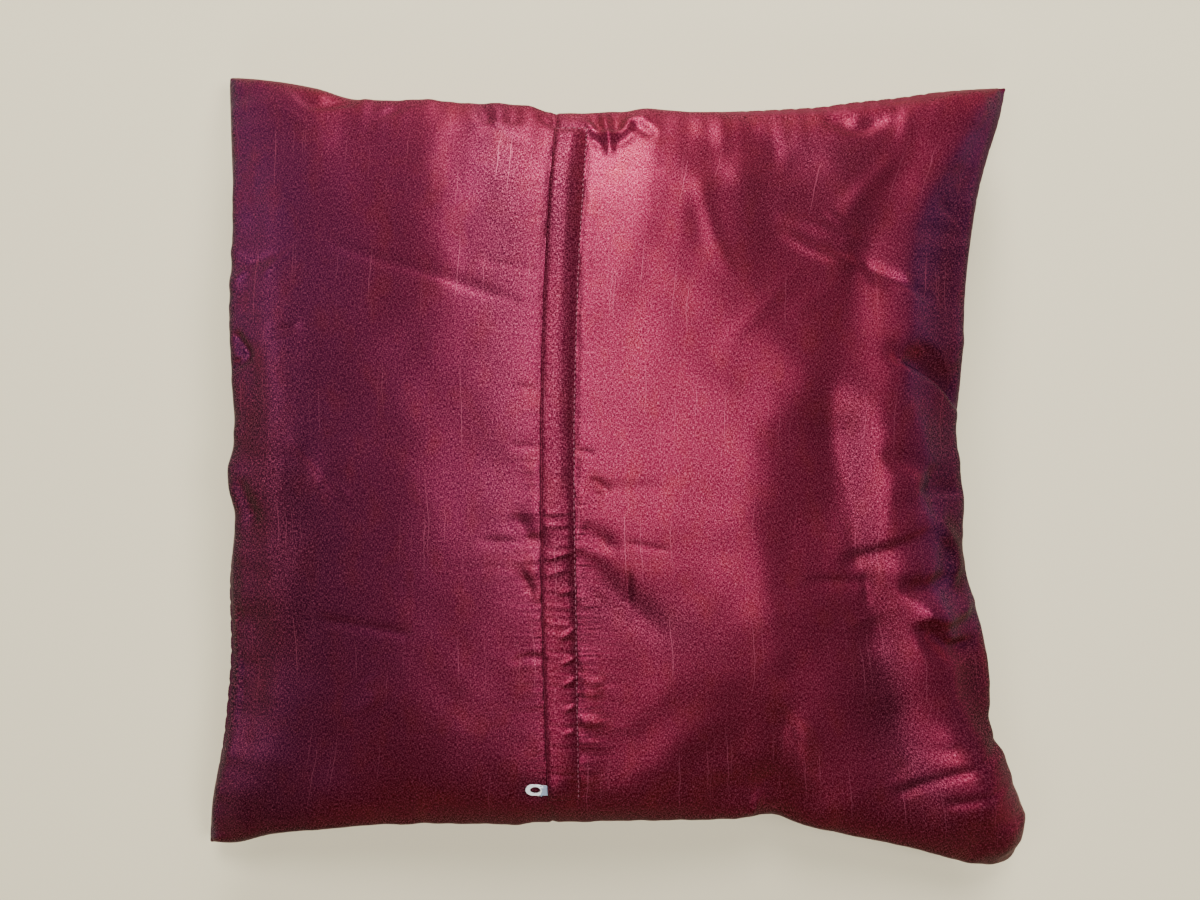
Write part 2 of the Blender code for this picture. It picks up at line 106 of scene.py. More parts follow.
# Folds of the back, from the broad to the sharp. The cloth is raised where the height is above zero.
# Columns: points that the fold runs through, half width on its left, half width on its right, height
FOLDS = (
    # Swell of the left panel beside the lap, beyond which it falls faster
    (((-62, 150), (-70, 100), (-74, 60), (-70, 20), (-70, -10), (-78, -60), (-86, -120)), 55, 34, 4.6),
    # Lower left of the panel, where it turns away from the window
    (((-95, -135), (-135, -125), (-180, -110)), 30, 65, -6.5),
    # Hollow under the top right corner, and the valley and swells about it
    (((135, 131), (129, 116), (123, 100)), 34, 58, -12),
    (((60, 151), (90, 149)), 14, 20, -2),
    (((73, 152), (75, 130), (78, 108)), 36, 15, -3),
    (((58, 160), (66, 150), (63, 138)), 10, 10, 1.6),
    (((137.3, 147.5), (125.6, 135.9), (114.3, 123.7)), 5, 5, 1.4),
    # Valley between the flat of the back and the right shoulder: a crease that widens as it runs down
    (((160, 168), (150, 152), (139, 137), (128, 121), (118.6, 103.3)), 11, 11, -0.8),
    (((124, 110), (120, 98), (116.5, 84.3), (113.5, 68)), 10, 5, -1.2),
    (((114, 76), (110, 52), (104, 30), (102.5, 10), (106, -10)), 16, 12, -2.4),
    (((104, 8), (109, -15), (111.5, -38), (117, -55), (123, -69.8)), 13.5, 29, -5.2),
    (((123, -69.8), (129, -83.7), (132.5, -102.5), (137, -122), (143, -148)), 11, 24, -4),
    (((88, -28), (93, -52), (100, -74)), 20, 22, -2),
    # Crest of the right shoulder
    (((178.4, 171.6), (163, 144.5), (148, 123.2), (142.5, 103.7), (140, 78), (136.5, 50), (132.5, 30),
      (135, 5), (136, -15.5), (143, -40), (148, -61.4), (154, -85), (159, -110.8), (168, -130), (178, -154),
      (188, -177)), 8.5, 15, 1),
    (((166, -130), (176, -152), (184, -168), (195, -186)), 20, 12, 4.5),
    (((172, -164), (184, -176)), 24, 24, 9.5),
    # Break across the lower right of the back, below which it falls to the bottom edge
    (((20, -130), (55, -129), (95, -126), (123, -118)), 48, 30, -5.6),
    # Swell along the bottom of the back on both sides of the lap, which drops to the bottom edge
    (((-85, -143), (-50, -145), (-15, -144), (10, -142)), 46, 23, 7.8),
    # Valley that runs down from the top edge to the right of the zip
    (((20, 166), (30, 155), (41, 144), (50, 132), (53, 110)), 12, 8, -0.7),
    (((43.5, 130), (43.5, 120.5), (47.8, 104.1), (53.4, 90.2)), 3, 4.5, 0.5),
    (((40, 118), (41, 100)), 5, 5, -0.5),
    (((43, 163), (63, 157), (84, 146)), 10, 12, -1),
    # Soft streaks that fan out from the middle of the valley
    (((86.9, 90.5), (71.9, 74.2), (50, 52.4)), 4, 4, 0.5),
    (((106.8, 84.1), (85.6, 70.8)), 3.5, 3.5, 0.4),
    # Pucker below the top edge, three ridges that meet
    (((-10.5, 159), (-3.6, 152.5), (0, 150.8)), 2.2, 2.2, 1.9),
    (((-2.2, 164), (-1.3, 157.5), (0, 151.5)), 2, 2, 1.6),
    (((0, 150.8), (6.5, 155), (10.4, 160.6), (16, 162.5)), 2.4, 2.4, 1.9),
    (((0, 151.2), (0.5, 144)), 2, 2, 1.2),
    (((-6.8, 161.5), (-5, 156)), 3.5, 3.5, -1.4),
    (((3, 163), (4.5, 157.5)), 4, 4, -1.4),
    (((-8.5, 151.5), (-4, 148.5)), 3, 3, -0.9),
    (((3.5, 149), (8.5, 152.5)), 3, 3, -0.9),
    (((13, 159.5), (18.7, 155.5)), 2.5, 3.5, -1.4),
    # Creases below the top right corner
    (((82, 117), (97, 115), (107, 111.5), (122, 106.5)), 2.2, 4.5, 0.9),
    (((104, 120.5), (113.4, 114.1)), 1.8, 2.5, 0.6),
    (((85, 107), (93, 103), (106.5, 98.1), (121, 95.2)), 2.4, 4, 1.3),
    (((121, 94.8), (136, 87.3), (152, 78.3)), 3.5, 1.8, -1.6),
    (((126, 87.8), (136, 83)), 2.5, 1.5, -0.9),
    (((163.6, 125.2), (168.2, 121), (173.4, 115.2)), 3, 2, -1.2),
    (((108, 170), (120, 166.5), (132, 171.5)), 5, 4, -2),
    # Dents that the filling leaves slack along the right side
    (((136, 48.5), (147, 45), (158, 38.5), (169, 29)), 9.5, 2, -6.8),
    (((149, 60), (157, 52.8), (165, 42)), 2, 2, 0.8),
    (((147, -11), (156, -12.2), (166, -13.2)), 5, 2, -2.8),
    (((136, -18), (146, -19), (158, -18)), 6, 4, -1),
    (((130, 3.5), (143, -1), (156, -7)), 6, 4, -1.8),
    (((112, -42.5), (131, -37.5), (149, -30.5)), 3, 5.5, -1.4),
    (((155, -29), (162, -40), (162.5, -54)), 5, 3, 3),
    (((138, -56), (148, -56.5), (157, -53)), 4.5, 3, -2.4),
    (((148, -70), (158, -71.5), (167, -69)), 7, 4, 3.6),
    (((149, -75.5), (160, -84.5), (172, -84.5)), 3, 6, -4),
    (((120, -49), (121.5, -61)), 2.5, 2.5, -0.8),
    (((92, -52.6), (120, -53.1)), 2.5, 3, -0.7),
    # Creases of the bottom right corner
    (((138, -154.5), (147, -150.5), (163, -143.4), (174.5, -139.8), (183, -135)), 3, 1.8, -1.3),
    (((158, -157.5), (171, -154), (183, -151.5)), 2.8, 1.6, -1),
    (((137, -144), (146, -155.8), (158, -169), (161, -181)), 14, 10, 1.2),
    # Notch in the bottom edge and the drags that run from it
    (((82, -170), (79, -160), (76, -152)), 8, 10, -3.2),
    (((54, -157), (66, -156), (78, -157.5), (90, -159)), 13, 9, -2.2),
    (((70.8, -159.7), (68.5, -165.6)), 2.2, 2.2, 1.6),
    (((68, -118), (71, -142)), 6, 6, 0.6),
    (((80.5, -118), (81, -143)), 5.5, 5.5, -0.8),
    (((90.5, -118), (91, -143)), 6, 6, 0.6),
    (((-4, -132), (8, -125), (20, -117.5), (33, -104)), 8, 11, -0.7),
    (((19, -156), (32, -146), (43, -133), (55, -123)), 8, 11, -0.8),
    # Crease across the left panel, and the soft trough below it that ends at the lap
    (((-124, 99.8), (-96, 90.1), (-73, 82.8), (-60, 77.8), (-42, 72.2)), 3.2, 2.2, -0.9),
    (((-54, 89.3), (-42, 87.9), (-31, 85.5)), 2.2, 2.2, -0.6),
    (((-96, 60), (-78.7, 36.4), (-69, 16), (-56, 3), (-31, 0)), 12, 18, -0.9),
    (((-160, 90.2), (-144, 100.3)), 1.6, 2.4, 0.7),
    (((-170, 94.2), (-157, 97.2)), 2.2, 1.6, -0.7),
    (((-177.3, 88.5), (-171.2, 92.5)), 1.8, 1.8, 0.8),
    (((-156, 60), (-142, 63)), 3, 1.8, -0.8),
    (((-144, 11.8), (-128.5, -3.7), (-117, -13.5)), 1.6, 2.2, 0.5),
    (((-130, -71.2), (-110.2, -72.8), (-91, -74.8)), 3, 1.8, -0.7),
    (((-176, 1), (-166, 1), (-155.8, 2), (-143, 0), (-132, -9)), 8, 8, -2.2),
    (((-175, -12), (-169, -23)), 5, 5, -2),
    (((-176.5, 60), (-171.3, 53.8)), 3, 3, -2),
    (((-177, 47.5), (-170.7, 50.5)), 2.5, 2.5, -1.6),
    (((-159, 173), (-145.5, 163.2)), 2, 3, 0.8),
    (((-153, 183), (-142, 173.5), (-126, 174.5)), 6, 3, -2),
    (((-95.5, 170.5), (-108, 164.5)), 2.5, 2.5, -0.7),
    (((-60.2, 169), (-57, 161)), 3.5, 3.5, -1.4),
    (((-45.7, 170), (-45.2, 161)), 4.5, 4.5, -1.8),
    # Gathers beside the lap
    (((-32, 162.5), (-26.2, 157)), 1.4, 1.4, -0.9),
    (((-29.5, 166), (-25, 159)), 1.4, 1.4, -0.9),
    (((-41, 35), (-31, 32.5)), 1.8, 1.8, -0.8),
    (((-42, 8.6), (-30.5, 8.4)), 1.8, 1.8, -0.6),
    (((-54.5, -32.6), (-33.2, -32.6)), 2, 2.6, -0.7),
    (((-40, -24), (-35, -31), (-31.5, -33)), 4.5, 3.5, -1.6),
    (((-39, -45.9), (-34.5, -54.5)), 2, 2.6, -1.2),
    (((-41.5, -86), (-35.3, -84.2), (-29.5, -85)), 2, 2, -1),
    (((-12.9, 6.7), (-7.5, 5.6)), 1.6, 1.6, -0.8),
    (((-10, -7.6), (-1.5, -9.6), (23, -9.6)), 3, 3, -0.5),
    (((-6, -7), (-2, -10)), 2.4, 2.4, -0.8),
    (((-12.5, -28), (-6, -31.5), (0, -35)), 4.5, 3, -1.7),
    (((9, -34), (25, -37.2)), 1.4, 1.4, -0.6),
    (((-12.5, -42.5), (-7.5, -48), (6, -60), (18, -70)), 8.5, 6, -2.6),
    (((8.3, -48), (8.3, -61)), 1.6, 1.6, -0.8),
    (((-12.5, -93.5), (-4.5, -96.2)), 2.2, 2.2, 0.9),
    (((-12.5, -100.3), (-6, -102.3)), 2, 2, 0.8),
    (((-12.5, -112.8), (-4.5, -114.6)), 2.2, 2.2, 0.9),
    # Hollow that the pull tab presses
    (((-35.2, -147.4), (-32.2, -147.4)), 3.8, 3.8, -1.4),
    # Seam that goes on from each end of the lap to the edge
    (((-25, 157), (-25.4, 170)), 1.2, 1.2, -1),
    (((-27.7, -153), (-26.2, -169)), 1.2, 1.2, -1),
)

# Where the cloth lies slack or creased and shines less, and where painted shade darkens its colour
# Columns: points and half widths as for the folds, share of slack and painted shade
SLACK_AND_SHADE = (
    (((70, 124), (95, 122), (118, 112)), 20, 28, 0.45),
    (((-12, -57), (12, -63), (40, -74)), 12, 18, 0.65),
    (((-150, 0), (-141, -40), (-141, -100)), 30, 30, 0.40),
    (((-160, 65), (-164, 20), (-164, -50), (-172, -120), (-180, -165)), 28, 28, 0.80),
    (((-47, 155), (-50, 40), (-48, -50)), 13, 13, 0.45),
    (((-18, 157), (-21.5, 80), (-22.8, 7), (-22.2, -50)), 6.5, 6.5, 0.55),
    (((110, 35), (112, -10), (120, -50)), 10, 10, 0.60),
    (((172, -88), (174, -110), (184, -140)), 13, 10, 1.00),
    (((172, 130), (160, 80), (158, 20), (166, -40)), 12, 12, 0.65),
    (((127, -75), (132, -110), (142, -138), (158, -158)), 10, 18, 0.82),
    (((-54, 158), (-44, 120), (-40, 80)), 20, 15, 0.35),
    (((-22.5, 157), (-24, 130), (-25, 100)), 6, 6, 0.35),
    (((-190, -170), (-150, -172)), 20, 20, 0.45),
    (((88, 150), (118, 147)), 14, 14, 0.50),
    # Painted shadow around the pull tab, darkest through its eye
    (((-37, -147.4), (-30, -147.4)), 5, 5, 0.90),
    (((160, -28), (166, -45), (168, -62)), 6, 6, 0.90),
)

# Gathers around the seam. Columns: how far they stand up and reach in on the left, right, bottom and top
EDGE_GATHERS = ((0.0012, 0.012), (0.0014, 0.014), (0.0007, 0.010), (0.0008, 0.010))
EDGE_GATHER_PITCH = 0.008
STITCH_GATHER_PITCH = 0.0045

# Lumps of the filling. Columns: height, size, seed
LUMPS = ((0.0007, 0.045, 31), (0.00025, 0.016, 32))

# The lap over the zip, from its lower end up. Columns: y, x of the folded edge, x of the stitched edge
LAP = (
    (-0.1530, -0.0277, -0.0138),
    (-0.0770, -0.0294, -0.0147),
    (0.0070, -0.0301, -0.0155),
    (0.0830, -0.0286, -0.0139),
    (0.1570, -0.0251, -0.0101),
)
LAP_LOW, LAP_HIGH = LAP[0][0], LAP[-1][0]

# Section of the lap from its hidden turning, round the fold, over to the stitches and a little way past them
# Columns: share of the lap's width from the fold, height over the back in the upper and in the lower half
LAP_SECTION = (
    (0.30, 0.0004, 0.0004), (0.05, 0.0004, 0.0004), (0.00, 0.0008, 0.0007), (0.010, 0.0013, 0.0011),
    (0.05, 0.0017, 0.0014), (0.25, 0.0021, 0.0015), (0.52, 0.0022, 0.0014), (0.76, 0.0012, 0.0010),
    (0.91, 0.0004, 0.0006), (0.97, 0.0002, 0.0003), (1.02, -0.0002, -0.0002), (1.10, -0.0012, -0.0012),
)
LAP_WIDTH = 0.0147
# The y between which the lower half's section turns into the upper half's
LAP_HALVES = (-0.035, 0.000)
LAP_CLOTH = 0.0003
LAP_CELLS = (34, 640)
STITCH_PITCH = 0.0026
STITCH_LENGTH = 0.0017
STITCH_THICKNESS = 0.00040
STITCH_RISE = 0.00012
STITCH_WANDER = 0.00015
STITCH_MARGIN = 0.001
# How far the stitches waver near the top of the lap, and the y from which they begin to and do so in full
STITCH_WAVER = 0.0007
WAVER_STARTS = (0.125, 0.150)
END_STITCHES = 6
END_ROW_INSET = 0.0004

# Creases across the lap. Columns as in the folds of the back
LAP_FOLDS = (
    (((-29.5, -20.5), (-16, -20)), 1, 1.2, 0.6),
    (((-29, -26.2), (-19, -25.8)), 1, 1.4, 0.5),
    (((-28, -40.8), (-15.5, -37.2)), 0.9, 1.4, 0.8),
    (((-28.5, -48), (-20, -45.5)), 1.1, 1.6, 0.5),
    (((-22, -56), (-15, -54)), 1, 1.4, 0.5),
    (((-21.5, -76), (-15, -71.5)), 1, 1.6, 0.7),
    (((-21, -87.5), (-15, -85)), 1, 1.4, 0.6),
    (((-20.5, -97.5), (-14.5, -94)), 1, 1.4, 0.5),
    (((-20, -109), (-14.5, -106.5)), 1, 1.4, 0.6),
    (((-20, -120), (-14.2, -118)), 1, 1.4, 0.5),
)

# The pull tab: a stamped plate with one round end, an eye, a raised rim and its other end under the lap
TAB_LENGTH = 0.0150
TAB_WIDTH = 0.0068
TAB_NECK_WIDTH = 0.0058
TAB_EYE = (0.0048, 0.0045)
TAB_EYE_FROM_END = 0.0044
TAB_RECESS_FROM_EYE = -0.0003
TAB_RIM = 0.0006
TAB_SINK = 0.00025
TAB_THICKNESS = 0.0006
TAB_BEVEL = 0.00012
TAB_STEPS = 48
TAB_TURN = math.radians(-2)
TAB_LIFT = 0.0001
# How far the lap rises over the tab, and how far the tab lies from the middle of its solid
TAB_ROOM = 0.0014
TAB_SHIFT = (0.0003, 0.0025, 0.0)

# How long the cover is left to settle, and how far a point of it may move
SETTLE_FRAMES = 30
SETTLE_CAP = 0.012
# Height of the seam's band between back and face
SEAM = 0.002

# Side of the cover between the tips of its corners, and of a panel between its drawn-in sides
COVER_SIDE = 0.40
PANEL_SIDE = 0.39

# The filling rounds off the corners: shares of the side from a tip where that begins and is full, and how
# often and how far a point moves to the middle of its neighbours
CORNER_EASE = (0.34, 0.16)
EASE_ROUNDS = 40
EASE_SHARE = 0.8

# Upward part of a normal from which the folds begin and are full, which keeps them off the seam and the face
FOLD_FACING = (0.05, 0.40)

# Slopes in degrees from which the purple of the weft, partly a painted sheen, begins to show and shows in full:
# on the whole, and more softly towards the left side. Then the same for the painted shade of the cloth that
# slopes to the bottom edge
PURPLE_SLOPES = (22, 50)
LEFT_PURPLE_SLOPES = (-12, 60)
LEE_SHADE_SLOPES = (4, 42)

# Soft round lights. Columns: name, degrees from +X towards +Y, degrees over the floor, watts
LIGHTS = (
    ("window_light", 90, 18, 65),
    ("upper_window_light", 90, 60, 28),
    ("right_light", 0, 65, 23),
    ("overhead_light", 0, 88, 20),
    ("left_light", 180, 65, 7),
    ("low_left_light", 180, 7, 12),
    ("fill_light", 270, 45, 8),
)
LIGHT_DISTANCE = 2.2
LIGHT_WIDTH = 0.7
LIGHT_AIM = (0, 0, 0.1)
FLOOR_REACH = 3.0
FLOOR_DROP = 0.0002

# The photograph's camera: its place over the floor, the width of its sensor and its focal length
EYE = (-0.0041, 0.0071, 0.750)
SENSOR_WIDTH_MM = 36.0
FOCAL_MM = 43.05


def linear(code):
    """Linear colour of an sRGB hex code."""
    channels = [int(code[place:place + 2], 16) / 255 for place in (1, 3, 5)]
    return tuple(c / 12.92 if c <= 0.04045 else ((c + 0.055) / 1.055) ** 2.4 for c in channels)


class PillowSizes(bpy.types.PropertyGroup):
    """Sizes of the cover that a user would change."""

    cut: bpy.props.FloatProperty(
        name="Panel cut", description="Side of the square that the back was cut to, with its seams in",
        default=0.415, unit="LENGTH",
    )
    face_cut: bpy.props.FloatProperty(
        name="Face cut", description="Side of the face's square, less what the floor takes up",
        default=0.388, unit="LENGTH",
    )
    corner_seam: bpy.props.FloatProperty(
        name="Corner seam height", description="Height of the seam at the corners",
        default=0.018, unit="LENGTH",
    )
    side_seam: bpy.props.FloatProperty(
        name="Side seam height", description="Height of the seam along the middle of the sides",
        default=0.048, unit="LENGTH",
    )
    crown: bpy.props.FloatProperty(
        name="Crown", description="How far back and face swell from the seam",
        default=0.070, unit="LENGTH",
    )
    cells: bpy.props.IntProperty(
        name="Cells", description="Cells of the back's net along a side", default=146,
    )
    pressure: bpy.props.FloatProperty(
        name="Filling pressure", description="Push of the filling while the cover settles", default=5.0,
    )


class PillowColours(bpy.types.PropertyGroup):
    """Colours of the finishes and of the painted shade, sheen and glints, linear."""

    warp: bpy.props.FloatVectorProperty(
        name="Warp", description="Crimson threads", subtype="COLOR", default=linear("#681630"),
    )
    # The weft's purple, laid by slope partly as a painted sheen
    weft: bpy.props.FloatVectorProperty(
        name="Weft", description="Purple threads that show at a slant", subtype="COLOR",
        default=linear("#461C48"),
    )
    # Colour of the painted shade where the cloth slopes down towards the bottom edge, and of the deeper red
    # clouds
    lee_shade: bpy.props.FloatVectorProperty(
        name="Lee", description="Where the cloth slopes down towards the bottom edge", subtype="COLOR",
        default=linear("#4E0A16"),
    )
    warm: bpy.props.FloatVectorProperty(
        name="Warm", description="Where the crimson shifts a little to orange", subtype="COLOR",
        default=linear("#7C2A1C"),
    )
    # Colour of the painted shade where the cloth lies slack and creased
    slack_and_shade: bpy.props.FloatVectorProperty(
        name="Slack", description="Where the cloth lies slack and creased", subtype="COLOR",
        default=linear("#30081A"),
    )
    # Colour of the thick threads and of the painted glints of the grain
    slub: bpy.props.FloatVectorProperty(
        name="Slub", description="Thick places in the threads", subtype="COLOR", default=linear("#B45870"),
    )
    thread: bpy.props.FloatVectorProperty(
        name="Thread", description="Sewing thread", subtype="COLOR", default=linear("#84304A"),
    )
    plate: bpy.props.FloatVectorProperty(
        name="Plate", description="Nickel plate of the pull tab", subtype="COLOR",
        default=linear("#FCFCFE"),
    )
    floor: bpy.props.FloatVectorProperty(
        name="Floor", description="Pale floor of the stage", subtype="COLOR", default=linear("#E2D6B4"),
    )


def smooth_value(rows, share, column=1):
    """Value of a table's column at a share, on a smooth curve through the rows."""
    shares = [row[0] for row in rows]
    values = [row[column] for row in rows]
    last = len(rows) - 1
    place = 0
    while place < last - 1 and share > shares[place + 1]:
        place += 1
    before, after = max(place - 1, 0), min(place + 2, last)
    step = shares[place + 1] - shares[place]
    slope_in = (values[place + 1] - values[before]) / (shares[place + 1] - shares[before]) * step
    slope_out = (values[after] - values[place]) / (shares[after] - shares[place]) * step
    t = (share - shares[place]) / step
    return (
        (2 * t**3 - 3 * t**2 + 1) * values[place] + (t**3 - 2 * t**2 + t) * slope_in
        + (3 * t**2 - 2 * t**3) * values[place + 1] + (t**3 - t**2) * slope_out
    )


def smooth_step(low, high, value):
    """From 0 at low to 1 at high, level at both. Takes numbers and arrays."""
    t = np.clip((value - low) / (high - low), 0.0, 1.0)
    return t * t * (3 - 2 * t)


def outline_point(across, up):
    """Point in plan for shares of the way across and up."""
    down = 1 - up
    left = TOP_LEFT[0] * up + BOTTOM_LEFT[0] * down + smooth_value(LEFT_SIDE, down)
    right = TOP_RIGHT[0] * up + BOTTOM_RIGHT[0] * down - smooth_value(RIGHT_SIDE, down)
    low = BOTTOM_LEFT[1] * (1 - across) + BOTTOM_RIGHT[1] * across + smooth_value(BOTTOM_SIDE, across)
    high = TOP_LEFT[1] * (1 - across) + TOP_RIGHT[1] * across - smooth_value(TOP_SIDE, across)
    return left + (right - left) * across, low + (high - low) * up


def seam_height(sizes, across, up):
    """Height of the sheet in which the seam lies."""
    corner = abs(2 * across - 1) ** 3.5 * abs(2 * up - 1) ** 3.5
    return sizes.side_seam + (sizes.corner_seam - sizes.side_seam) * corner


def swell(across, up):
    """Share of the full crown at a place of the net."""
    return max(4 * across * (1 - across) * 4 * up * (1 - up), 0.0) ** 0.4


def smooth_path(points, count=24):
    """A path's points on a smooth curve through the few that are given."""
    spans = [math.dist(*pair) for pair in zip(points, points[1:])]
    rows = [(sum(spans[:place]) / sum(spans), *point) for place, point in enumerate(points)]
    return [[smooth_value(rows, share / count, column) for column in (1, 2)] for share in range(count + 1)]


def beside_path(plan, points):
    """Distance of each place from a path, its side from 1 (left) to -1 (right), and its share of the way."""
    path = np.array(smooth_path(points))
    nearest = np.full(len(plan), np.inf)
    side, share = np.ones(len(plan)), np.zeros(len(plan))
    for number, (start, end) in enumerate(zip(path, path[1:])):
        run = end - start
        along = np.clip((plan - start) @ run / (run @ run), 0, 1)
        gap = plan - start - along[:, None] * run
        distance = np.linalg.norm(gap, axis=1)
        nearer = distance < nearest
        nearest[nearer] = distance[nearer]
        across = (run[0] * gap[nearer, 1] - run[1] * gap[nearer, 0]) / math.hypot(*run)
        side[nearer] = across / np.maximum(distance[nearer], 1e-9)
        share[nearer] = (number + along[nearer]) / (len(path) - 1)
    return nearest, side, share


def fold_heights(plan, folds):
    """Sum of a table's folds at each place in millimetres, in the unit of the table's last column."""
    height = np.zeros(len(plan))
    for points, left, right, rise in folds:
        reach = 2.5 * max(left, right)
        low, high = np.min(points, axis=0) - reach, np.max(points, axis=0) + reach
        near = np.nonzero(((plan > low) & (plan < high)).all(axis=1))[0]
        if len(near) == 0:
            continue
        distance, side, share = beside_path(plan[near], points)
        width = (left + right) / 2 + (left - right) / 2 * side
        swelling = rise * np.exp(-(distance / width) ** 2)
        length = sum(math.dist(*pair) for pair in zip(points, points[1:]))
        if length > 3 * max(left, right):
            swelling *= smooth_step(-0.25, 0.2, share) * (1 - smooth_step(0.8, 1.25, share))
        height[near] += swelling
    return height


def shoulder_fall(plan, inset):
    """Height taken off where the back falls from its shoulders to the seam, all in millimetres."""
    fall = np.zeros(len(plan))
    for points, depth, softness in SHOULDERS:
        distance, side, _ = beside_path(plan, points)
        beyond = distance * np.sign(side)
        beyond = (beyond + np.sqrt(beyond**2 + softness**2)) / 2
        across = beyond + inset + 1
        share = beyond / across
        fall = np.maximum(fall, depth * 4 * share * (1 - share) * np.minimum(across / 25, 1))
    return fall


def roughly(places, seed):
    """Smooth noise from about -1 to 1 at each row of an array of places, in units of its own size."""
    shift = Vector((seed * 7.31, seed * 3.17, seed * 1.73))
    return np.array([noise.noise(Vector(place) + shift) for place in places]) * 1.6


def read(rows, name, width):
    """One property of every row of a mesh as an array."""
    values = np.empty(len(rows) * width, np.float32)
    rows.foreach_get(name, values)
    return values.reshape(-1, width).astype(float)


def get_points(mesh):
    """A mesh's points."""
    return read(mesh.vertices, "co", 3)


def get_normals(mesh):
    """A mesh's point normals."""
    return read(mesh.vertex_normals, "vector", 3)


def set_points(mesh, points):
    """Write an array of points to a mesh."""
    mesh.vertices.foreach_set("co", points.astype(np.float32).ravel())
    mesh.update()


def paint(mesh, name, values):
    """Store one number for each point as an attribute that a material can read."""
    attribute = mesh.attributes.get(name) or mesh.attributes.new(name, "FLOAT", "POINT")
    attribute.data.foreach_set("value", np.asarray(values, np.float32))


def painted(mesh, name):
    """Numbers that were stored for each point."""
    return read(mesh.attributes[name].data, "value", 1)[:, 0]


def slope_share(limits, sine):
    """From 0 to 1 as a slope, given by its sine, goes from one limit in degrees to the other."""
    return smooth_step(*(math.sin(math.radians(limit)) for limit in limits), sine)


def paint_sides(mesh):
    """Store how far the cloth slopes sideways, where the purple weft shows, partly as a painted sheen,
    except at the lower right.
    """
    x, y, _ = get_points(mesh).T
    slope = get_normals(mesh)[:, 0]
    purple = slope_share(PURPLE_SLOPES, np.abs(slope))
    # On the left side the painted sheen begins at gentler slopes
    left = slope_share(LEFT_PURPLE_SLOPES, -slope) * smooth_step(0.02, -0.05, x)
    lower_right = smooth_step(-0.070, -0.095, y) * smooth_step(0.0, 0.05, x)
    paint(mesh, "weft_and_sheen", np.maximum(purple, left) * (1 - 0.75 * lower_right))


def paint_creases(mesh):
    """Store how far the cloth slopes down towards the bottom edge, for painted shade there, and how slack
    it lies, which adds painted shade too.
    """
    paint(mesh, "lee_shade", slope_share(LEE_SHADE_SLOPES, -get_normals(mesh)[:, 1]))
    paint(mesh, "slack_and_shade", np.clip(fold_heights(get_points(mesh)[:, :2] / MM, SLACK_AND_SHADE), 0, 1))


def lay_weave(mesh, flat):
    """UV map in metres of the flat cloth, from an array with a row for each point."""
    corners = np.empty(len(mesh.loops), np.int32)
    mesh.loops.foreach_get("vertex_index", corners)
    layer = mesh.uv_layers.get("weave") or mesh.uv_layers.new(name="weave")
    layer.data.foreach_set("uv", flat[corners].astype(np.float32).ravel())


def object_from(name, net, material):
    """New smooth-shaded object from a bmesh, its faces outwards."""
    bmesh.ops.recalc_face_normals(net, faces=net.faces)
    mesh = bpy.data.meshes.new(name)
    net.to_mesh(mesh)
    net.free()
    mesh.shade_smooth()
    mesh.materials.append(material)
    made = bpy.data.objects.new(name, mesh)
    bpy.context.scene.collection.objects.link(made)
    return made


def bake(made):
    """Apply the object's modifiers to its mesh."""
    evaluated = made.evaluated_get(bpy.context.evaluated_depsgraph_get())
    mesh = bpy.data.meshes.new_from_object(evaluated)
    old = made.data
    if old.shape_keys:
        made.shape_key_clear()
    made.modifiers.clear()
    made.data = mesh
    bpy.data.meshes.remove(old)


def surface_of(name):
    """Search tree of a piece that another operator has made."""
    if name not in bpy.data.objects:
        raise RuntimeError(f"{name} has to be made first")
    mesh = bpy.data.objects[name].data
    places = [vert.co for vert in mesh.vertices]
    return BVHTree.FromPolygons(places, [face.vertices for face in mesh.polygons])


def top_of(surface, x, y):
    """Point of a surface straight below the sky at x, y, or None beside it."""
    return surface.ray_cast(Vector((x, y, 1.0)), Vector((0, 0, -1)))[0]


def add_node(material, kind, inputs=(), output=0, **settings):
    """Output of a new shader node with its settings. Inputs pair a socket with a value or an output."""
    node = material.node_tree.nodes.new(kind)
    for name, value in settings.items():
        setattr(node, name, value)
    for socket, source in inputs:
        if isinstance(source, bpy.types.NodeSocket):
            material.node_tree.links.new(source, node.inputs[socket])
        else:
            node.inputs[socket].default_value = source
    return node.outputs[output]


def new_material(name, colour, roughness, metallic, **sockets):
    """Principled material with constants on the shader's own sockets."""
    material = bpy.data.materials.new(name)
    material.use_nodes = True
    shader = material.node_tree.nodes["Principled BSDF"]
    shader.inputs["Base Color"].default_value = (*colour, 1.0)
    shader.inputs["Roughness"].default_value = roughness
    shader.inputs["Metallic"].default_value = metallic
    for socket, value in sockets.items():
        shader.inputs[socket.replace("_", " ")].default_value = value
    return material, shader


def link_shader(material, shader, **sources):
    """Feed the shader's sockets from other nodes' outputs."""
    for socket, source in sources.items():
        material.node_tree.links.new(source, shader.inputs[socket.replace("_", " ")])


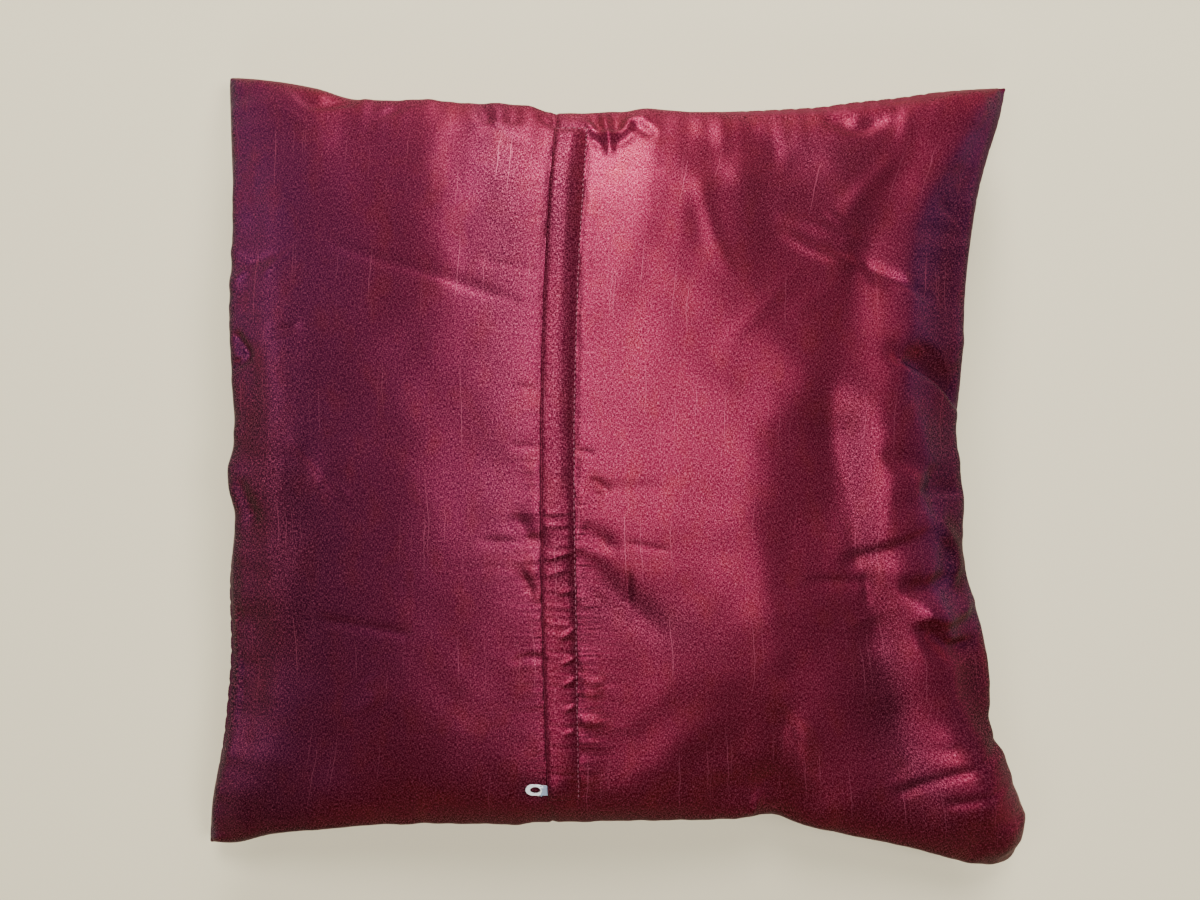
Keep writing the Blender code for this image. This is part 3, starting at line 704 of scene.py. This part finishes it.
def woven_taffeta(colours):
    """Shot taffeta, plain woven of crimson warp and purple weft: a satin glint drawn out along the threads,
    purple where it slopes away, partly a painted sheen, painted shade where it slopes to the bottom edge
    and where it lies slack, a fine grain with painted glints and now and then a thick thread that wanders
    up the panel."""
    material, shader = new_material(
        "woven_taffeta", colours.warp, 0.40, 0.60,
        Anisotropic=0.6, Anisotropic_Rotation=0.25, Specular_IOR_Level=0.05,
        Specular_Tint=(*linear("#6A2444"), 1.0),
    )
    cloth = add_node(material, "ShaderNodeUVMap", output="UV", uv_map="weave")
    weft_and_sheen, lee_shade, slack_and_shade, gathered = [
        add_node(material, "ShaderNodeAttribute", output="Fac", attribute_name=name)
        for name in ("weft_and_sheen", "lee_shade", "slack_and_shade", "gathered")
    ]
    # The cloth's places, pushed sideways by a millimetre or so every 11 mm, which bends the thick threads
    bend_place = add_node(material, "ShaderNodeMapping", [("Vector", cloth), ("Scale", (90, 90, 1))])
    bend = add_node(material, "ShaderNodeTexNoise", [("Vector", bend_place), ("Scale", 1.0)], "Color")
    bent = add_node(
        material, "ShaderNodeVectorMath", [(0, bend), (1, (0.0022, 0.0, 0.0)), (2, cloth)],
        operation="MULTIPLY_ADD",
    )

    # Columns: cloth that the noise lies on, its cells to a metre across and up the panel, its detail
    noises = []
    for laid, across, up, detail in (
        # Grain of the threads, 0.4 mm wide and 1.2 to 1.4 mm long before they dive under the next. The real
        # ones are half as coarse and wouldn't show
        (cloth, 2700, 700, 2.0),
        (cloth, 850, 2700, 2.0),
        # Thick places in the threads, thin streaks some 30 mm long and never quite straight
        (bent, 1350, 15, 0.0),
        # Clouds of deeper red, some 50 mm wide, and of orange, some 20 mm wide
        (cloth, 28, 17, 2.0),
        (cloth, 75, 48, 2.0),
        # Puckers beside the machine stitches, 2 to 3 mm apart, drawn out across the panel
        (cloth, 70, 380, 1.0),
    ):
        place = add_node(material, "ShaderNodeMapping", [("Vector", laid), ("Scale", (across, up, 1))])
        noises.append(add_node(
            material, "ShaderNodeTexNoise", [("Vector", place), ("Scale", 1.0), ("Detail", detail)],
        ))
    warp_grain, weft_grain, thick_places, deep_clouds, warm_clouds, pucker = noises
    grain = add_node(material, "ShaderNodeMath", [(0, warp_grain), (1, weft_grain)], operation="ADD")
    shine = add_node(
        material, "ShaderNodeMath", [(0, slack_and_shade), (1, -0.6), (2, grain)], operation="MULTIPLY_ADD",
    )

    # Columns: noise, the range of it that is used, what the ends of that range turn into, curve between them
    shares = []
    for noisy, low, high, first, last, curve in (
        (thick_places, 0.755, 0.83, 0.0, 0.34, "SMOOTHSTEP"),
        (deep_clouds, 0.35, 0.70, 0.0, 0.2, "LINEAR"),
        (warm_clouds, 0.50, 0.72, 0.0, 0.2, "LINEAR"),
        (grain, 0.74, 1.02, 0.60, 0.0, "LINEAR"),
        # Painted glints where the grain stands high
        (grain, 0.98, 1.28, 0.0, 0.50, "LINEAR"),
        (shine, 0.1, 1.3, 0.52, 0.36, "LINEAR"),
    ):
        shares.append(add_node(
            material, "ShaderNodeMapRange",
            [("Value", noisy), ("From Min", low), ("From Max", high), ("To Min", first), ("To Max", last)],
            interpolation_type=curve,
        ))
    slubs, deep, warmth, pits, glints, roughness = shares

    # Each look is laid over the ones before it: purple at the sides, partly a painted sheen, the painted shade
    # of the lee, clouds, painted shade where the cloth lies slack, the gaps and the painted glints of the grain,
    # and the thick threads
    # Share of the painted shade where the cloth lies slack
    painted_shade_share = add_node(material, "ShaderNodeMath", [(0, slack_and_shade), (1, 0.80)], operation="MULTIPLY")
    colour = (*colours.warp, 1)
    for share, tone in (
        (weft_and_sheen, colours.weft), (lee_shade, colours.lee_shade), (deep, colours.lee_shade), (warmth, colours.warm),
        (painted_shade_share, colours.slack_and_shade), (pits, linear("#0D0003")), (glints, colours.slub), (slubs, colours.slub),
    ):
        colour = add_node(
            material, "ShaderNodeMix", [(0, share), (6, colour), (7, (*tone, 1))], 2, data_type="RGBA",
        )

    height = add_node(
        material, "ShaderNodeMath", [(0, slubs), (1, 0.8), (2, grain)], operation="MULTIPLY_ADD",
    )
    puckers = add_node(material, "ShaderNodeMath", [(0, pucker), (1, gathered)], operation="MULTIPLY")
    pulled = add_node(
        material, "ShaderNodeBump", [("Strength", 1.0), ("Distance", 0.0011), ("Height", puckers)], "Normal",
    )
    bump = add_node(
        material, "ShaderNodeBump",
        [("Strength", 0.20), ("Distance", 0.00020), ("Height", height), ("Normal", pulled)], "Normal",
    )
    threads = add_node(material, "ShaderNodeTangent", direction_type="UV_MAP", uv_map="weave")
    link_shader(material, shader, Base_Color=colour, Roughness=roughness, Normal=bump, Tangent=threads)
    return material


def nickel_plate(colours):
    """Bright nickel over a stamped zinc tab: white and a little hazy, so that it shines evenly."""
    material, shader = new_material("nickel_plate", colours.plate, 0.34, 0.05)
    place = add_node(material, "ShaderNodeTexCoord", output="Object")
    haze = add_node(material, "ShaderNodeTexNoise", [("Vector", place), ("Scale", 900.0), ("Detail", 3.0)])
    roughness = add_node(
        material, "ShaderNodeMapRange", [("Value", haze), ("To Min", 0.26), ("To Max", 0.42)],
    )
    link_shader(material, shader, Roughness=roughness)
    return material


def shaded_nickel_recess(colours):
    """The sunk middle of the tab, rougher than the rim, in a darker and bluish copy of the plate's colour:
    painted shade of the recess.
    """
    shaded_plate = [channel * share for channel, share in zip(colours.plate, (0.42, 0.50, 0.66))]
    return new_material("shaded_nickel_recess", shaded_plate, 0.45, 0.35)[0]


def sewing_thread(colours):
    """Spun polyester thread: softly shiny, with the twist of its plies 0.5 mm apart."""
    material, shader = new_material("sewing_thread", colours.thread, 0.5, 0.0, Sheen_Weight=0.3)
    place = add_node(material, "ShaderNodeTexCoord", output="Object")
    plies = add_node(
        material, "ShaderNodeTexWave", [("Vector", place), ("Scale", 600.0)], "Fac",
        bands_direction="DIAGONAL",
    )
    bump = add_node(
        material, "ShaderNodeBump", [("Strength", 0.3), ("Distance", 0.0001), ("Height", plies)], "Normal",
    )
    link_shader(material, shader, Normal=bump)
    return material


def shared(maker):
    """A material that several pieces take, made once."""
    return bpy.data.materials.get(maker.__name__) or maker(bpy.context.scene.pillow_colours)


def laid_out(sizes):
    """Closed bmesh of back and face joined by the seam, with the net's shares of the way across and up."""
    net = bmesh.new()
    shares, rims = [], []
    for cells, side in ((sizes.cells, 1), (sizes.cells // 3, -1)):
        skin = bmesh.ops.create_grid(net, x_segments=cells, y_segments=cells, size=0.5)["verts"]
        for vert in skin:
            across = min(max(vert.co.x + 0.5, 0.0), 1.0)
            up = min(max(vert.co.y + 0.5, 0.0), 1.0)
            shares.append((across, up))
            x, y = outline_point(across, up)
            height = seam_height(sizes, across, up) + side * (SEAM / 2 + sizes.crown * swell(across, up))
            vert.co = (x, y, max(height, 0.0))
        skin = set(skin)
        rims.extend(edge for edge in net.edges if edge.is_boundary and edge.verts[0] in skin)
    bmesh.ops.bridge_loops(net, edges=rims)
    return net, np.array(shares)


def eased(move, cells, weight):
    """Moves of the back's points, each averaged with its neighbours' as far as its weight says."""
    count = (cells + 1) ** 2
    net = move[:count].reshape(cells + 1, cells + 1, 3).copy()
    share = weight[:count].reshape(cells + 1, cells + 1, 1)[1:-1, 1:-1] * EASE_SHARE
    for _ in range(EASE_ROUNDS):
        around = (net[:-2, 1:-1] + net[2:, 1:-1] + net[1:-1, :-2] + net[1:-1, 2:]) / 4
        net[1:-1, 1:-1] += (around - net[1:-1, 1:-1]) * share
    return np.concatenate((net.reshape(-1, 3), move[count:]))


def settle(made, cut, held, sizes):
    """Let the cover settle over its filling while the panels keep the size they were cut to."""
    made.vertex_groups.new(name="held").add(np.nonzero(held)[0].tolist(), 1.0, "REPLACE")
    made.shape_key_add(name="laid out")
    key = made.shape_key_add(name="cut")
    key.data.foreach_set("co", cut.astype(np.float32).ravel())
    key.value = 0.0
    cloth = made.modifiers.new("Cloth", "CLOTH")
    settings = cloth.settings
    settings.quality = 6
    settings.mass = 0.002
    settings.tension_stiffness = settings.compression_stiffness = 15
    settings.shear_stiffness = 5
    settings.bending_stiffness = 0.01
    settings.air_damping = 1
    settings.use_pressure = True
    settings.uniform_pressure_force = sizes.pressure
    settings.vertex_group_mass = "held"
    settings.rest_shape_key = key
    settings.effector_weights.gravity = 0
    cloth.collision_settings.use_collision = False
    cloth.point_cache.frame_end = SETTLE_FRAMES
    scene = bpy.context.scene
    for number in range(1, SETTLE_FRAMES + 1):
        scene.frame_set(number)
    before = get_points(made.data)
    bake(made)
    scene.frame_set(1)
    # The filling rounds off the creases that a bare cover would have in its corners
    corner = np.linalg.norm(0.5 - np.abs(before[:, :2]) / COVER_SIDE, axis=1)
    move = eased(get_points(made.data) - before, sizes.cells, smooth_step(*CORNER_EASE, corner))
    length = np.linalg.norm(move, axis=1)
    after = before + move * np.minimum(1, SETTLE_CAP / np.maximum(length, 1e-9))[:, None]
    set_points(made.data, after)


def edge_gathers(points, across, up):
    """Height of the gathers that run in from the seam."""
    height = np.zeros(len(points))
    insets = (across, 1 - across, up, 1 - up)
    for number, (share, (rise, reach)) in enumerate(zip(insets, EDGE_GATHERS)):
        inset = share * PANEL_SIDE
        near = np.nonzero(inset < 4 * reach)[0]
        along = points[near, 1 if number < 2 else 0]
        zero = np.zeros(len(near))
        fine = roughly(np.stack((along / EDGE_GATHER_PITCH, inset[near] / (3 * reach), zero), 1), number + 1)
        slow = 1 + roughly(np.stack((along / (5 * EDGE_GATHER_PITCH), zero, zero), 1), number + 11)
        fade = np.exp(-inset[near] / (reach * np.clip(slow, 0.3, 2.0))) * smooth_step(0, 0.004, inset[near])
        height[near] += rise * fine * fade
    return height


def lap_edges(y):
    """x of the lap's folded edge and of its stitched edge at a height on the back."""
    return smooth_value(LAP, y, 1), smooth_value(LAP, y, 2)


def along_lap(y, beyond, within):
    """1 along the lap, easing to 0 from a little within its ends to a little beyond them."""
    lower = smooth_step(LAP_LOW - beyond, LAP_LOW + within, y)
    return lower * (1 - smooth_step(LAP_HIGH - within, LAP_HIGH + beyond, y))


def beside_lap(points):
    """How far each point lies to the right of the lap's stitches, and to the left of its folded edge."""
    y = np.clip(points[:, 1], LAP_LOW, LAP_HIGH)
    rows = np.linspace(LAP_LOW, LAP_HIGH, 60)
    fold, stitched = np.transpose([lap_edges(row) for row in rows])
    return points[:, 0] - np.interp(y, rows, stitched), np.interp(y, rows, fold) - points[:, 0]


def stitch_gathers(points):
    """Height of the gathers that run out from the stitches and, on the other side, from the lap's fold."""
    height = np.zeros(len(points))
    beside = along_lap(points[:, 1], 0.004, 0.004)
    right, left = beside_lap(points)
    for gap, rise, slant, seed in ((right, 0.0008, 0.30, 21), (left, 0.0006, 0.10, 22)):
        near = np.nonzero((gap > 0) & (gap < 0.05) & (beside > 0))[0]
        out, y, zero = gap[near], points[near, 1], np.zeros(len(near))
        strength = (0.35 + 0.65 * smooth_step(0.04, -0.04, y)) * beside[near]
        fine = roughly(np.stack(((y + slant * out) / STITCH_GATHER_PITCH, out / 0.02, zero), 1), seed)
        slow = 1 + roughly(np.stack((y / 0.022, zero, zero), 1), seed + 10)
        fade = np.exp(-out / (0.009 * np.clip(slow, 0.25, 2.0))) * smooth_step(0, 0.0015, out)
        height[near] += rise * strength * fine * fade
    # The cloth dips to the slot beside the lap's fold and to the line of stitches
    height -= 0.0003 * np.exp(-((left - 0.0002) / 0.0012) ** 2) * beside
    height -= 0.0006 * np.exp(-(right / 0.0018) ** 2) * beside
    return height


def paint_gathers(mesh, points):
    """Store how strongly the cloth is puckered by the stitches."""
    right, left = beside_lap(points)
    share = 0.9 * np.exp(-np.maximum(right, 0) / 0.010) * (right > 0)
    share += 0.7 * np.exp(-np.maximum(left, 0) / 0.008) * (left > 0)
    lower = 0.45 + 0.55 * smooth_step(0.03, -0.05, points[:, 1])
    paint(mesh, "gathered", share * lower * along_lap(points[:, 1], 0.006, 0.002))


class PILLOW_OT_cushion(bpy.types.Operator):
    """Build the filled cushion with its seam, folds and gathers"""

    bl_idname = "pillow.cushion"
    bl_label = "Cushion"

    def execute(self, context):
        sizes = context.scene.pillow_sizes
        net, shares = laid_out(sizes)
        cushion = object_from("taffeta_cushion", net, shared(woven_taffeta))
        mesh = cushion.data
        points = get_points(mesh)
        across, up = shares.T
        on_back = np.arange(len(points)) < (sizes.cells + 1) ** 2
        cut_side = np.where(on_back, sizes.cut, sizes.face_cut)[:, None]
        flat = (shares - 0.5) * cut_side
        cut = np.column_stack((flat, np.where(on_back, SEAM / 2, -SEAM / 2)))
        rim = (shares.min(axis=1) < 1e-6) | (shares.max(axis=1) > 1 - 1e-6)
        on_floor = ~on_back & (points[:, 2] < 1e-5)
        lay_weave(mesh, flat + np.where(on_back, 0.0, 1.0)[:, None])
        paint(mesh, "across", across)
        paint(mesh, "up", up)
        settle(cushion, cut, rim | on_floor, sizes)

        smooth = cushion.modifiers.new("Smooth", "SUBSURF")
        smooth.levels = smooth.render_levels = 1
        bake(cushion)
        mesh = cushion.data
        points, normals = get_points(mesh), get_normals(mesh)
        across, up = painted(mesh, "across"), painted(mesh, "up")
        upward = smooth_step(*FOLD_FACING, normals[:, 2])
        plan = points[:, :2] / MM
        inset = np.minimum(np.minimum(across, 1 - across), np.minimum(up, 1 - up)) * PANEL_SIDE
        lumps = sum(rise * roughly(points / size, seed) for rise, size, seed in LUMPS)
        height = fold_heights(plan, FOLDS) * MM + lumps * smooth_step(0, 0.02, inset)
        height += stitch_gathers(points)
        points[:, 2] -= shoulder_fall(plan, inset / MM) * MM * upward
        set_points(mesh, points)
        paint_sides(mesh)
        gathers = edge_gathers(points, across, up) * (normals[:, 2] > 0)
        points += normals * (height * upward + gathers)[:, None]
        points[:, 2] = np.maximum(points[:, 2], 0.0)
        set_points(mesh, points)
        paint_creases(mesh)
        paint_gathers(mesh, points)
        mesh.attributes.remove(mesh.attributes["across"])
        mesh.attributes.remove(mesh.attributes["up"])

        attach(cushion, "root")
        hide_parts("cushion")
        return {"FINISHED"}


class PILLOW_OT_lap(bpy.types.Operator):
    """Lay the folded lap over the zip"""

    bl_idname = "pillow.lap"
    bl_label = "Lap"

    def execute(self, context):
        surface = surface_of("taffeta_cushion")
        tab_low, tab_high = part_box("pull_tab")
        tab_y = (tab_low.y + tab_high.y) / 2
        spans = [0.0]
        for (share, rise, _), (next_share, next_rise, _) in zip(LAP_SECTION, LAP_SECTION[1:]):
            spans.append(spans[-1] + math.hypot((next_share - share) * LAP_WIDTH, next_rise - rise))
        section = [(span / spans[-1], *row) for span, row in zip(spans, LAP_SECTION)]
        net = bmesh.new()
        columns, rows = LAP_CELLS
        strip = bmesh.ops.create_grid(net, x_segments=columns, y_segments=rows, size=0.5)["verts"]
        flat, places = [], []
        for vert in strip:
            along, across = vert.co.y + 0.5, vert.co.x + 0.5
            y = LAP_LOW + (LAP_HIGH - LAP_LOW) * along
            fold, stitched = lap_edges(y)
            share = smooth_value(section, across, 1)
            upper = smooth_step(*LAP_HALVES, y)
            rise = smooth_value(section, across, 2) * upper + smooth_value(section, across, 3) * (1 - upper)
            over = smooth_step(0.0, 0.06, share) * (across > 0.30)
            end = smooth_step(0.0, 0.004, min(y - LAP_LOW, LAP_HIGH - y))
            # Puckers a stitch apart across the lap, stronger in its lower half and beside the stitches
            pucker = noise.noise(Vector((0.35 * share, (y + 0.0015 * share) / STITCH_PITCH, 4.0)))
            pull = math.exp(-((share - 1.0) / 0.22) ** 2)
            rise += over * pucker * (0.00012 + 0.00015 * (1 - upper) + 0.00025 * pull)
            beside_tab = math.exp(-((y - tab_y) / 0.008) ** 4)
            room = TAB_ROOM * beside_tab * (1 - smooth_step(0.30, 0.85, share))
            x = fold + (stitched - fold) * share
            places.append((x, y, over))
            vert.co = (x, y, top_of(surface, x, y).z + rise * (0.4 + 0.6 * end) + room)
            flat.append((across * spans[-1] + 2.0, y))
        places = np.array(places)
        for vert, height in zip(strip, fold_heights(places[:, :2] / MM, LAP_FOLDS) * MM * places[:, 2]):
            vert.co.z += height
        lap = object_from("zip_lap_cloth", net, shared(woven_taffeta))
        if get_normals(lap.data)[-1, 2] < 0:
            lap.data.flip_normals()
        lay_weave(lap.data, np.array(flat))
        thick = lap.modifiers.new("Cloth thickness", "SOLIDIFY")
        thick.thickness = LAP_CLOTH
        thick.offset = 0.0
        bake(lap)
        paint_creases(lap.data)
        for name in ("weft_and_sheen", "gathered"):
            paint(lap.data, name, np.zeros(len(lap.data.vertices)))
        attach(lap, "root")
        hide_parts("zip_lap")
        return {"FINISHED"}


def add_stitch(net, surfaces, start, end):
    """One stitch of thread between two places in plan, a little sunk in the highest of the surfaces."""
    places = []
    for place in (start, end):
        hits = [top_of(surface, *place) for surface in surfaces]
        places.append(max((hit for hit in hits if hit), key=lambda hit: hit.z))
    middle = (places[0] + places[1]) / 2
    along = (places[1] - places[0]).normalized()
    turn = Vector((0, 0, 1)).rotation_difference(along).to_matrix().to_4x4()
    size = Matrix.Diagonal((STITCH_THICKNESS / 2, STITCH_THICKNESS / 2, math.dist(start, end) / 2, 1))
    bmesh.ops.create_uvsphere(
        net, u_segments=8, v_segments=6, radius=1.0,
        matrix=Matrix.Translation(middle + Vector((0, 0, STITCH_RISE))) @ turn @ size,
    )


class PILLOW_OT_stitching(bpy.types.Operator):
    """Sew the lap down along its edge and across its top end"""

    bl_idname = "pillow.stitching"
    bl_label = "Stitching"

    def execute(self, context):
        surfaces = [surface_of(name) for name in ("taffeta_cushion", "zip_lap_cloth")]
        rng = random.Random(7)
        net = bmesh.new()
        y = LAP_LOW + STITCH_MARGIN
        while y < LAP_HIGH - STITCH_MARGIN:
            waver = STITCH_WAVER * smooth_step(*WAVER_STARTS, y) * math.sin(2 * y / STITCH_PITCH)
            begin = (lap_edges(y)[1] + waver + rng.uniform(-STITCH_WANDER, STITCH_WANDER), y)
            y += STITCH_PITCH
            end_x = lap_edges(y)[1] - waver + rng.uniform(-STITCH_WANDER, STITCH_WANDER)
            add_stitch(net, surfaces, begin, (end_x, y - STITCH_PITCH + STITCH_LENGTH))
        row_y = LAP_HIGH - END_ROW_INSET
        fold, stitched = lap_edges(row_y)
        for number in range(END_STITCHES):
            x = fold + (stitched - fold) * (number + 0.3) / END_STITCHES
            end = (x + STITCH_LENGTH * 0.9, row_y + rng.uniform(-0.0002, 0.0002))
            add_stitch(net, surfaces, (x, row_y), end)
        stitches = object_from("lap_stitching", net, shared(sewing_thread))
        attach(stitches, "root")
        return {"FINISHED"}


def tab_edge(angle):
    """Point of the tab's outline: a round end on the left, straight sides that narrow to the neck."""
    x, y = math.cos(angle), math.sin(angle)
    if x <= 0:
        return -TAB_LENGTH / 2 + TAB_WIDTH / 2 * (1 + x), TAB_WIDTH / 2 * y
    reach = min(1.0, x / max(abs(y), 1e-9))
    half_width = (TAB_WIDTH + (TAB_NECK_WIDTH - TAB_WIDTH) * reach) / 2
    straight = (TAB_LENGTH - TAB_WIDTH / 2) * reach
    return -TAB_LENGTH / 2 + TAB_WIDTH / 2 + straight, half_width * max(-1.0, min(1.0, y / max(x, 1e-9)))


class PILLOW_OT_tab(bpy.types.Operator):
    """Stamp the pull tab with its eye and raised rim"""

    bl_idname = "pillow.tab"
    bl_label = "Pull tab"

    def execute(self, context):
        low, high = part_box("pull_tab")
        surface = surface_of("taffeta_cushion")
        middle = (low + high) / 2 + Vector(TAB_SHIFT)
        ends = [top_of(surface, middle.x + side * TAB_LENGTH / 2, middle.y) for side in (-1, 1)]
        sides = [top_of(surface, middle.x - TAB_WIDTH / 2, middle.y + side * TAB_WIDTH) for side in (-1, 1)]
        normal = (ends[1] - ends[0]).cross(sides[1] - sides[0]).normalized()
        over = max(normal.dot(place - ends[0]) for place in (*ends, *sides))
        point = (ends[0] + ends[1]) / 2 + normal * over
        eye_x = -TAB_LENGTH / 2 + TAB_EYE_FROM_END
        net = bmesh.new()
        for on_eye in (False, True):
            ring = bmesh.ops.create_circle(net, segments=TAB_STEPS, radius=1.0)["verts"]
            for number, vert in enumerate(ring):
                angle = 2 * math.pi * number / TAB_STEPS
                eye = (eye_x + TAB_EYE[0] / 2 * math.cos(angle), TAB_EYE[1] / 2 * math.sin(angle))
                vert.co = (*(eye if on_eye else tab_edge(angle)), 0)
        rims = set(net.edges)
        bmesh.ops.bridge_loops(net, edges=list(rims))
        bmesh.ops.subdivide_edges(net, edges=[edge for edge in net.edges if edge not in rims], cuts=3)
        recess_start = eye_x + TAB_EYE[0] / 2 + TAB_RECESS_FROM_EYE
        plate = list(net.verts) + list(net.edges) + list(net.faces)
        bmesh.ops.bisect_plane(net, geom=plate, dist=1e-6, plane_co=(recess_start, 0, 0), plane_no=(1, 0, 0))
        recess = [face for face in net.faces if face.calc_center_median().x > recess_start]
        bmesh.ops.inset_region(net, faces=recess, thickness=TAB_RIM, depth=-TAB_SINK, use_boundary=True)
        # The recess takes the material with the painted shade
        for face in recess:
            face.material_index = 1
        turn = Matrix.Rotation(TAB_TURN, 4, "Z")
        tilt = Vector((0, 0, 1)).rotation_difference(normal).to_matrix().to_4x4()
        raised = Matrix.Translation(point + normal * (TAB_LIFT + TAB_THICKNESS))
        bmesh.ops.recalc_face_normals(net, faces=net.faces)
        if sum(face.normal.z for face in net.faces) < 0:
            bmesh.ops.reverse_faces(net, faces=net.faces)
        bmesh.ops.transform(net, matrix=raised @ tilt @ turn, verts=net.verts)

        tab = object_from("stamped_tab", net, shared(nickel_plate))
        tab.data.materials.append(shared(shaded_nickel_recess))
        thick = tab.modifiers.new("Plate", "SOLIDIFY")
        thick.thickness = TAB_THICKNESS
        thick.offset = -1.0
        rounded = tab.modifiers.new("Rounded", "BEVEL")
        rounded.width = TAB_BEVEL
        rounded.segments = 3
        rounded.limit_method = "ANGLE"
        rounded.angle_limit = math.radians(40)
        tab.modifiers.new("Flat faces", "WEIGHTED_NORMAL")
        bake(tab)
        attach(tab, "root")
        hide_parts("pull_tab")
        return {"FINISHED"}


class PILLOW_OT_stage(bpy.types.Operator):
    """Lay the pale floor, set the soft lights and place the camera of the photograph"""

    bl_idname = "pillow.stage"
    bl_label = "Stage"

    def execute(self, context):
        scene = context.scene
        # Plain pale paint with a dull, even look
        material = new_material("pale_floor", scene.pillow_colours.floor, 0.6, 0.0)[0]
        net = bmesh.new()
        bmesh.ops.create_grid(net, x_segments=1, y_segments=1, size=FLOOR_REACH)
        bmesh.ops.translate(net, verts=net.verts, vec=(0, 0, -FLOOR_DROP))
        floor = object_from("floor", net, material)

        camera = bpy.data.objects.new("camera", bpy.data.cameras.new("camera"))
        camera.data.sensor_width = SENSOR_WIDTH_MM
        camera.data.lens = FOCAL_MM
        camera.location = EYE
        scene.collection.objects.link(camera)
        scene.camera = camera

        world = scene.world or bpy.data.worlds.new("studio")
        scene.world = world
        world.use_nodes = True
        background = world.node_tree.nodes["Background"]
        background.inputs["Color"].default_value = (*linear("#F3F7FF"), 1.0)
        background.inputs["Strength"].default_value = 0.02

        for name, bearing, rise, power in LIGHTS:
            light = bpy.data.objects.new(name, bpy.data.lights.new(name, "AREA"))
            light.data.shape = "DISK"
            light.data.size = LIGHT_WIDTH
            light.data.energy = power
            aim = Euler((0, -math.radians(rise), math.radians(bearing))).to_matrix()
            away = aim @ Vector((LIGHT_DISTANCE, 0, 0))
            light.location = Vector(LIGHT_AIM) + away
            light.rotation_euler = (-away).to_track_quat("-Z", "Y").to_euler()
            scene.collection.objects.link(light)
        return {"FINISHED"}


class PILLOW_PT_panel(bpy.types.Panel):
    """The pillow's sizes, colours and pieces"""

    bl_idname = "PILLOW_PT_panel"
    bl_label = "Throw pillow"
    bl_space_type = "VIEW_3D"
    bl_region_type = "UI"
    bl_category = "Pillow"

    def draw(self, context):
        for group in (context.scene.pillow_sizes, context.scene.pillow_colours):
            for name in group.__annotations__:
                self.layout.prop(group, name)
        for operator in OPERATORS:
            self.layout.operator(operator.bl_idname)


OPERATORS = (PILLOW_OT_cushion, PILLOW_OT_lap, PILLOW_OT_stitching, PILLOW_OT_tab, PILLOW_OT_stage)
CLASSES = (PillowSizes, PillowColours, *OPERATORS, PILLOW_PT_panel)


def register():
    for cls in CLASSES:
        bpy.utils.register_class(cls)
    bpy.types.Scene.pillow_sizes = bpy.props.PointerProperty(type=PillowSizes)
    bpy.types.Scene.pillow_colours = bpy.props.PointerProperty(type=PillowColours)


def unregister():
    del bpy.types.Scene.pillow_sizes
    del bpy.types.Scene.pillow_colours
    for cls in reversed(CLASSES):
        bpy.utils.unregister_class(cls)


def main():
    register()
    bpy.ops.pillow.cushion()
    bpy.ops.pillow.lap()
    bpy.ops.pillow.stitching()
    bpy.ops.pillow.tab()
    bpy.ops.pillow.stage()


if __name__ == "__main__":
    main()
